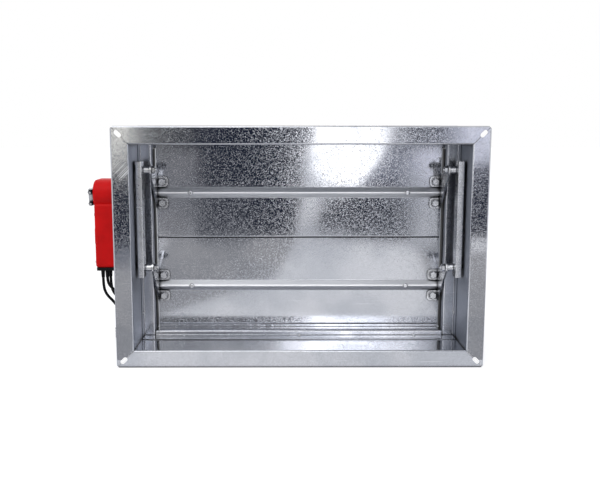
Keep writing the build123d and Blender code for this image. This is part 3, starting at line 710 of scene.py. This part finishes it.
def plated(name, base, roughness, mark_amount, seed):
    """Plated or rolled metal: faint drag marks, cloudy tone and painted shade in corners."""
    material, tree, shader = new_material(name, 1.0, roughness)
    clouds = use_group(tree, soft_patches, size=CLOUD_SIZE, seed=seed)["Mask"]
    marks = use_group(tree, handling_marks, amount=mark_amount, seed=seed)["Mask"]
    crystals = use_group(tree, zinc_spangle, size=PLATE_CRYSTAL_SIZE, tilt=PLATE_CRYSTAL_TILT)
    clouded = blend(tree, clouds, base, [CLOUD_TONE * part for part in base])
    toned = scaled(tree, clouded, span(tree, crystals["Tone"], 0.0, 1.0, *PLATE_TONES))
    # Painted shade: ambient occlusion darkens corners and the metal round fasteners towards near-black
    corner_shade = use_group(tree, painted_crevice_shade, reach=PLATE_SHADE_REACH)["Mask"]
    tree.links.new(blend(tree, corner_shade, toned, DIRT_AND_SHADE), shader["Base Color"])
    rough = calculate(tree, "MULTIPLY_ADD", marks, DRAG_ROUGHNESS, roughness)
    rough = calculate(tree, "MULTIPLY_ADD", clouds, CLOUD_ROUGHNESS, rough)
    tree.links.new(rough, shader["Roughness"])
    tree.links.new(crystals["Normal"], shader["Normal"])
    return material


def zinc_plate():
    """Bright plate of cranks, bars and fasteners."""
    plate = bpy.context.scene.damper_finishes.plate_colour
    return plated("zinc_plate", plate, roughness=0.22, mark_amount=0.4, seed=1.0)


def stainless_strip():
    """Drawn stainless steel of the heat sensor's probe."""
    return plated("stainless_strip", (0.42, 0.42, 0.43), roughness=0.3, mark_amount=0.8, seed=5.0)


def bearing_bronze():
    """Sintered bronze of the shaft bearings."""
    return plated("bearing_bronze", (0.5, 0.33, 0.16), roughness=0.38, mark_amount=0.2, seed=9.0)


def black_oxide():
    """Blackened steel of the spindle clamp's nuts."""
    return plated("black_oxide", (0.035, 0.035, 0.04), roughness=0.36, mark_amount=0.5, seed=13.0)


def moulded(name, base, roughness, grain, depth, gloss=0.12, dust_amount=0.1):
    """Moulded plastic or rubber: fine grain, a faint drift of tone and some dust."""
    material, tree, shader = new_material(name, 0.0, roughness)
    shader["Specular IOR Level"].default_value = gloss
    grains = use_group(tree, moulded_grain, size=grain)
    dust = use_group(tree, settled_dust, amount=dust_amount)["Mask"]
    toned = scaled(tree, base, span(tree, grains["Tone"], *GRAIN_FADE, *MOULDED_TONES))
    tree.links.new(blend(tree, dust, toned, DUST), shader["Base Color"])
    smooth = roughness - GRAIN_ROUGHNESS / 2
    rough = calculate(tree, "MULTIPLY_ADD", grains["Tone"], GRAIN_ROUGHNESS, smooth)
    tree.links.new(rough, shader["Roughness"])
    bump = add_node(
        tree, "ShaderNodeBump", {"Strength": GRAIN_STRENGTH, "Distance": depth, "Height": grains["Height"]}
    )
    tree.links.new(bump.outputs["Normal"], shader["Normal"])
    return material


def red_housing():
    """Matt red moulding of the actuator."""
    red = bpy.context.scene.damper_finishes.red_colour
    return moulded(
        "red_housing", red, roughness=0.46, grain=0.0007, depth=0.00006, gloss=0.1, dust_amount=0.05
    )


def black_moulding():
    """Black mouldings: end cap, hub, sensor box and tie."""
    black = bpy.context.scene.damper_finishes.black_colour
    return moulded("black_moulding", black, roughness=0.45, grain=0.0006, depth=0.00005)


def seal_strip():
    """Side seals in near-black, which is painted shade for the dark gap at the blades' ends."""
    return moulded("seal_strip", (0.02, 0.02, 0.022), roughness=0.6, grain=0.0009, depth=0.00008)


def grey_button():
    """Smooth grey plastic of the test button."""
    return moulded("grey_button", (0.36, 0.37, 0.39), roughness=0.3, grain=0.0005, depth=0.00001)


def cable_sheath():
    """Smooth black sheath of the cables and grommets."""
    black = bpy.context.scene.damper_finishes.black_colour
    return moulded("cable_sheath", black, roughness=0.4, grain=0.0011, depth=0.00003)


def core_brown():
    """Brown insulation of a cable's core."""
    return moulded("core_brown", (0.13, 0.05, 0.025), roughness=0.4, grain=0.0006, depth=0.00001)


def core_blue():
    """Blue insulation of a cable's core."""
    return moulded("core_blue", (0.03, 0.1, 0.36), roughness=0.4, grain=0.0006, depth=0.00001)


def bare_copper():
    """Stripped copper strands."""
    return plated("bare_copper", (0.72, 0.33, 0.19), roughness=0.3, mark_amount=0.3, seed=17.0)


def finish(builder):
    """Material of a builder, made on its first use."""
    return bpy.data.materials.get(f"damper_{builder.__name__}") or builder()


def dress(names, builder):
    """Give CAD nodes a finish."""
    for name in names:
        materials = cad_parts[name].data.materials
        materials.clear()
        materials.append(finish(builder))


def new_piece(name, data, body):
    """New object that rides on a body."""
    piece = bpy.data.objects.new(name, data)
    bpy.context.scene.collection.objects.link(piece)
    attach(piece, body)
    return piece


class DAMPER_OT_casing(Operator):
    """Finish the folded casing"""

    bl_idname = "damper.casing"
    bl_label = "Casing"

    def execute(self, context):
        dress(SHEET_FRAME, galvanised_casing)
        return {"FINISHED"}


class DAMPER_OT_rails(Operator):
    """Finish the jambs, stops and side seals"""

    bl_idname = "damper.rails"
    bl_label = "Jambs and stops"

    def execute(self, context):
        dress(SHEET_INNER, galvanised_rail)
        dress(SEALS, seal_strip)
        return {"FINISHED"}


class DAMPER_OT_blades(Operator):
    """Finish the two blades"""

    bl_idname = "damper.blades"
    bl_label = "Blades"

    def execute(self, context):
        dress(BLADES, galvanised_blade)
        return {"FINISHED"}


class DAMPER_OT_linkage(Operator):
    """Finish the shafts, bearings, cranks, link bars and fasteners"""

    bl_idname = "damper.linkage"
    bl_label = "Linkage"

    def execute(self, context):
        dress(CRANKS + LINK_BARS + FASTENERS + SHAFTS + ["actuator_bracket"], zinc_plate)
        dress(["shaft_bearings"], bearing_bronze)
        return {"FINISHED"}


class DAMPER_OT_actuator(Operator):
    """Finish the actuator, its clamp and the heat sensor"""

    bl_idname = "damper.actuator"
    bl_label = "Actuator"

    def execute(self, context):
        dress(["actuator_housing"], red_housing)
        dress(["actuator_end_cap", "drive_hub", "sensor_housing", "coil_tie"], black_moulding)
        dress(CLAMP, zinc_plate)
        dress(["clamp_nuts"], black_oxide)
        dress(["sensor_button"], grey_button)
        dress(["sensor_probe"], stainless_strip)
        dress(["cable_grommets"], cable_sheath)
        return {"FINISHED"}


def coil_turns(coil_node, entry, turns, diameter, turn_points):
    """Points of a neat coil inside a coil's solid, from its entry down to the floor."""
    low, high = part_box(coil_node)
    centre = (low + high) / 2
    radius = (high.x - low.x - diameter) / 2
    # The spline runs a little inside its points, so they stand out by this factor
    pull = 2 / (1 + math.cos(math.pi / turn_points))
    start = math.atan2(entry[1] - centre.y, entry[0] - centre.x)
    top_z = high.z - diameter / 2
    drop = high.z - low.z - diameter
    count = round(turns * turn_points)
    points = []
    for step in range(1, count + 1):
        angle = start + 2 * math.pi * step / turn_points
        side = Vector((math.cos(angle), math.sin(angle), 0)) * radius * pull
        points.append((centre.x + side.x, centre.y + side.y, top_z - drop * step / count))
    return points


def cable_curve(name, points, diameter):
    """Round cable along one smooth spline that its points pull."""
    curve = bpy.data.curves.new(name, "CURVE")
    curve.dimensions = "3D"
    curve.bevel_depth = diameter / 2
    curve.bevel_resolution = 4
    curve.resolution_u = 6
    curve.use_fill_caps = True
    spline = curve.splines.new("NURBS")
    spline.points.add(len(points) - 1)
    for place, point in zip(spline.points, points):
        place.co = (*point, 1)
    spline.order_u = 3
    spline.use_endpoint_u = True
    curve.materials.append(finish(cable_sheath))
    return new_piece(name, curve, "casing")


def bare_end(name, points, insulation, offset):
    """One core of a cable's bare end, off the axis in height: an insulated wire with a stripped tip."""
    end, before = Vector(points[-1]), Vector(points[-2])
    along = (end - before).normalized()
    turned = along.to_track_quat("Z", "Y").to_matrix().to_4x4()
    mesh = bpy.data.meshes.new(name)
    shape = bmesh.new()
    lengths = ((0, CORE_REACH, CORE_RADIUS), (CORE_REACH, CORE_REACH + COPPER_REACH, COPPER_RADIUS))
    for slot, (start, stop, radius) in enumerate(lengths):
        made = bmesh.ops.create_cone(
            shape,
            cap_ends=True,
            segments=16,
            radius1=radius,
            radius2=radius,
            depth=stop - start,
            matrix=Matrix.Translation(along * (start + stop) / 2) @ turned,
        )
        for face in {face for vertex in made["verts"] for face in vertex.link_faces}:
            face.material_index = slot
            face.smooth = len(face.verts) == 4
    shape.to_mesh(mesh)
    shape.free()
    mesh.materials.append(finish(insulation))
    mesh.materials.append(finish(bare_copper))
    mesh.transform(Matrix.Translation(end - along * CORE_OVERLAP + Vector((0, 0, offset))))
    return new_piece(name, mesh, "casing")


class DAMPER_OT_cables(Operator):
    """Lay the two cables and their coil, and the heat sensor's lead"""

    bl_idname = "damper.cables"
    bl_label = "Cables"

    def execute(self, context):
        cables = context.scene.damper_cables
        for name, route, turns, length in (
            ("supply", SUPPLY_ROUTE, cables.supply_turns, SUPPLY_LENGTH),
            ("switch", SWITCH_ROUTE, cables.switch_turns, SWITCH_LENGTH),
        ):
            points = route + coil_turns(
                f"{name}_coil", route[-1], turns, cables.diameter, cables.turn_points
            )
            cable = cable_curve(f"{name}_cable_run", points, cables.diameter)
            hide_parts(f"{name}_cable", f"{name}_coil")
            goes_with = [
                bare_end(f"{name}_{insulation.__name__}", points, insulation, offset)
                for insulation, offset in ((core_brown, CORE_OFFSET), (core_blue, -CORE_OFFSET))
            ]
            if name == "supply":
                goes_with.append(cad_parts["coil_tie"])
        lead = cable_curve("sensor_lead_run", SENSOR_ROUTE, cables.diameter)
        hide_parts("sensor_lead")
        return {"FINISHED"}


# Studio: places and sizes in metres, the view's shift as a share of its width and its film in millimetres
CAMERA_PLACE = Vector((-0.0393, -1.5841, 0.238))
CAMERA_TARGET = Vector((-0.0343, 0.0, -0.0055))
CAMERA_SHIFT = (0.029, 0.0048)
CAMERA_FILM = 36.0
FLOOR_RADIUS = 16.0
FLOOR_SIDES = 48
FLOOR_ROUGHNESS = 0.9
SKY_COLOUR = (0.95, 0.97, 1.0)
KEY_TARGET = (0, 0.1, 0)
KEY_LAMP = {"place": (-0.9, -2.2, 2.6), "size": (2.2, 1.4)}
WINDOW_LAMP = {"place": (0.49, -4.55, 0.55), "size": (0.56, 1.55)}
FANLIGHT = {"place": (0.55, -4.57, 1.15), "size": (1.1, 0.7)}

# Flags that only reflections see: colour, and corners on a wall ahead (X, Z) or on the floor (X, Y)
DEEP_BLUE = (0.028, 0.034, 0.058)
SLATE = (0.11, 0.115, 0.125)
DUSK = (0.24, 0.26, 0.34)
HAZE = (0.36, 0.36, 0.38)
PEARL = (0.55, 0.55, 0.56)
DAYLIGHT = (1.5, 1.46, 1.32)
COOL_LIGHT = (1.3, 1.32, 1.48)
WALL_Y = -4.5
WALL_FLAGS = {
    "wall_left": (DEEP_BLUE, [(-0.66, -0.22), (0.2, -0.22), (0.2, 0.95), (-0.66, 0.95)]),
    "wall_far_left": (SLATE, [(-1.05, 0.02), (-0.66, 0.02), (-0.66, 1.0), (-1.05, 1.0)]),
    "wall_far_left_foot": (HAZE, [(-1.05, -0.22), (-0.66, -0.22), (-0.66, 0.02), (-1.05, 0.02)]),
    "wall_right": (DEEP_BLUE, [(0.85, 0.04), (1.22, 0.04), (1.22, 0.9), (0.85, 0.9)]),
    "wall_right_foot": (DUSK, [(0.56, -0.22), (0.98, -0.22), (0.98, 0.03), (0.8, 0.1)]),
    "wall_right_light": (COOL_LIGHT, [(1.23, -0.03), (1.7, -0.03), (1.7, 0.9), (1.23, 0.9)]),
    "wall_right_low_light": (COOL_LIGHT, [(0.99, -0.2), (1.22, -0.2), (1.22, 0.035), (0.99, 0.035)]),
    "wall_corner": (DAYLIGHT, [(-1.9, -0.05), (-1.05, -0.05), (-1.05, 1.2), (-1.9, 1.2)]),
}
FLOOR_FLAGS = {
    "floor_left": (DEEP_BLUE, [(-0.39, -1.49), (0.03, -1.49), (0.16, -4.5), (-0.66, -4.5)]),
    "floor_right": (DEEP_BLUE, [(0.1, -1.45), (0.5, -1.45), (0.98, -4.5), (0.3, -4.5)]),
    "floor_far_left": (
        DEEP_BLUE, [(-1.5, -1.49), (-0.52, -1.49), (-1.0, -4.5), (-1.38, -7.5), (-3.6, -7.5)]
    ),
    "floor_mid_left": (HAZE, [(-0.51, -1.49), (-0.4, -1.49), (-0.67, -4.45), (-0.98, -4.45)]),
    "floor_far_right": (DEEP_BLUE, [(0.66, -1.8), (1.6, -1.8), (4.4, -9.0), (2.2, -9.0)]),
    "floor_dusk_left": (DUSK, [(-0.66, -1.26), (-0.53, -1.26), (-0.565, -1.48), (-0.72, -1.48)]),
    "floor_haze_left": (HAZE, [(-0.63, -1.06), (-0.5, -1.06), (-0.53, -1.25), (-0.66, -1.25)]),
    "near_left": (
        PEARL,
        [
            (-1.1, -0.003), (-0.345, -0.003), (-0.338, -0.072), (-0.05, -0.6),
            (0.04, -1.48), (-0.47, -1.48), (-0.47, -1.05), (-1.1, -1.05),
        ],
    ),
    "near_right": (
        PEARL, [(0.345, -0.003), (1.2, -0.003), (1.1, -1.4), (0.5, -1.4), (0.342, -0.072)]
    ),
}
FLAG_LIFT = 0.015


def flag_cloth(name, value):
    """Evenly lit cloth of a flag."""
    material = bpy.data.materials.new(name)
    material.use_nodes = True
    tree = material.node_tree
    cloth = add_node(tree, "ShaderNodeEmission", {"Color": (*value, 1), "Strength": 1.0})
    tree.links.new(cloth.outputs[0], tree.nodes["Material Output"].inputs["Surface"])
    return material


def seen_plainly(tree):
    """1 for rays from the camera and through gloss or glass, and 0 for light on surfaces."""
    rays = add_node(tree, "ShaderNodeLightPath").outputs
    plain = calculate(tree, "ADD", rays["Is Camera Ray"], rays["Is Glossy Ray"])
    sockets = {0: plain, 1: rays["Is Transmission Ray"]}
    return add_node(tree, "ShaderNodeMath", sockets, operation="ADD", use_clamp=True).outputs[0]


def pale_floor(stage):
    """Floor that renders white and keeps the damper's shadow."""
    material = bpy.data.materials.new("pale_floor")
    material.use_nodes = True
    tree = material.node_tree
    shader = tree.nodes["Principled BSDF"]
    shader.inputs["Base Color"].default_value = (*stage.floor_colour, 1)
    shader.inputs["Roughness"].default_value = FLOOR_ROUGHNESS
    strength = calculate(tree, "MULTIPLY", seen_plainly(tree), stage.floor_glow)
    glow = add_node(tree, "ShaderNodeEmission", {"Strength": strength})
    both = add_node(tree, "ShaderNodeAddShader")
    tree.links.new(shader.outputs[0], both.inputs[0])
    tree.links.new(glow.outputs[0], both.inputs[1])
    tree.links.new(both.outputs[0], tree.nodes["Material Output"].inputs["Surface"])
    return material


def stage_sheet(name, corners, material):
    """Flat sheet of the studio."""
    mesh = bpy.data.meshes.new(name)
    mesh.from_pydata(corners, [], [range(len(corners))])
    mesh.materials.append(material)
    sheet = bpy.data.objects.new(name, mesh)
    bpy.context.scene.collection.objects.link(sheet)
    return sheet


def lamp(name, place, size, target, power):
    """Rectangular soft lamp aimed at a point."""
    light = bpy.data.lights.new(name, "AREA")
    light.shape = "RECTANGLE"
    light.size, light.size_y = size
    light.energy = power
    made = bpy.data.objects.new(name, light)
    made.location = place
    made.rotation_euler = (Vector(target) - Vector(place)).to_track_quat("-Z", "Y").to_euler()
    made.visible_camera = False
    bpy.context.scene.collection.objects.link(made)
    return made


def lay_floor(stage, floor_z):
    """Plain round floor under the damper."""
    turns = [2 * math.pi * step / FLOOR_SIDES for step in range(FLOOR_SIDES)]
    corners = [(FLOOR_RADIUS * math.cos(turn), FLOOR_RADIUS * math.sin(turn), floor_z) for turn in turns]
    stage_sheet("floor", corners, pale_floor(stage))


def set_flags(floor_z):
    """Flags on the wall ahead and just above the floor, which only reflections see."""
    flags = {
        name: (value, [(x, WALL_Y, z) for x, z in corners])
        for name, (value, corners) in WALL_FLAGS.items()
    }
    flags |= {
        name: (value, [(x, y, floor_z + FLAG_LIFT) for x, y in corners])
        for name, (value, corners) in FLOOR_FLAGS.items()
    }
    for name, (value, corners) in flags.items():
        flag = stage_sheet(name, corners, flag_cloth(name, value))
        flag.visible_camera = False
        flag.visible_diffuse = False
        flag.visible_shadow = False
        flag.visible_transmission = False


def hang_lamps(stage):
    """Key lamp above the front, and the window and its fanlight that the sheet mirrors."""
    lamp("key_lamp", KEY_LAMP["place"], KEY_LAMP["size"], KEY_TARGET, stage.key_power)
    for name, shape in (("window_lamp", WINDOW_LAMP), ("fanlight", FANLIGHT)):
        ahead = (shape["place"][0], 0, shape["place"][2])
        lamp(name, shape["place"], shape["size"], ahead, stage.window_power)


def light_sky(scene, stage):
    """Even light from all round, and white where it is seen plainly."""
    world = bpy.data.worlds.new("studio")
    world.use_nodes = True
    scene.world = world
    tree = world.node_tree
    even = tree.nodes["Background"]
    even.inputs["Color"].default_value = (*SKY_COLOUR, 1)
    even.inputs["Strength"].default_value = stage.sky_strength
    white = add_node(tree, "ShaderNodeBackground", {"Color": (1, 1, 1, 1), "Strength": 1.0})
    chosen = add_node(tree, "ShaderNodeMixShader", {"Fac": seen_plainly(tree)})
    tree.links.new(even.outputs[0], chosen.inputs[1])
    tree.links.new(white.outputs[0], chosen.inputs[2])
    tree.links.new(chosen.outputs[0], tree.nodes["World Output"].inputs["Surface"])


def set_camera(scene, stage):
    """View of the damper's front."""
    view = bpy.data.cameras.new("view")
    view.lens = stage.lens
    view.sensor_width = CAMERA_FILM
    view.shift_x, view.shift_y = CAMERA_SHIFT
    camera = bpy.data.objects.new("camera", view)
    camera.location = CAMERA_PLACE
    camera.rotation_euler = (CAMERA_TARGET - CAMERA_PLACE).to_track_quat("-Z", "Y").to_euler()
    scene.collection.objects.link(camera)
    scene.camera = camera


class DAMPER_OT_stage(Operator):
    """Set the floor, light, flags and view"""

    bl_idname = "damper.stage"
    bl_label = "Studio"

    def execute(self, context):
        scene = context.scene
        stage = scene.damper_stage
        floor_z = cad_box[0].z
        lay_floor(stage, floor_z)
        set_flags(floor_z)
        hang_lamps(stage)
        light_sky(scene, stage)
        set_camera(scene, stage)
        scene.view_settings.view_transform = "Standard"
        return {"FINISHED"}


class DAMPER_PT_panel(Panel):
    """Lists the damper's operators"""

    bl_idname = "DAMPER_PT_panel"
    bl_label = "Fire damper"
    bl_space_type = "VIEW_3D"
    bl_region_type = "UI"
    bl_category = "Fire damper"

    def draw(self, context):
        for operator in OPERATORS:
            self.layout.operator(operator.bl_idname)


OPERATORS = [
    DAMPER_OT_stage,
    DAMPER_OT_cables,
    DAMPER_OT_casing,
    DAMPER_OT_rails,
    DAMPER_OT_blades,
    DAMPER_OT_linkage,
    DAMPER_OT_actuator,
]
GROUPS = {
    "damper_finishes": DamperFinishes,
    "damper_cables": DamperCables,
    "damper_stage": DamperStage,
}


def register():
    """Add the damper's properties, operators and panel."""
    for made in (*GROUPS.values(), *OPERATORS, DAMPER_PT_panel):
        bpy.utils.register_class(made)
    for name, made in GROUPS.items():
        setattr(bpy.types.Scene, name, PointerProperty(type=made))


def unregister():
    """Take them away again."""
    for name in GROUPS:
        delattr(bpy.types.Scene, name)
    for made in (DAMPER_PT_panel, *reversed(OPERATORS), *reversed(list(GROUPS.values()))):
        bpy.utils.unregister_class(made)


def main():
    """Make every piece in order."""
    register()
    for operator in OPERATORS:
        group, name = operator.bl_idname.split(".")
        getattr(getattr(bpy.ops, group), name)()


if __name__ == "__main__":
    main()
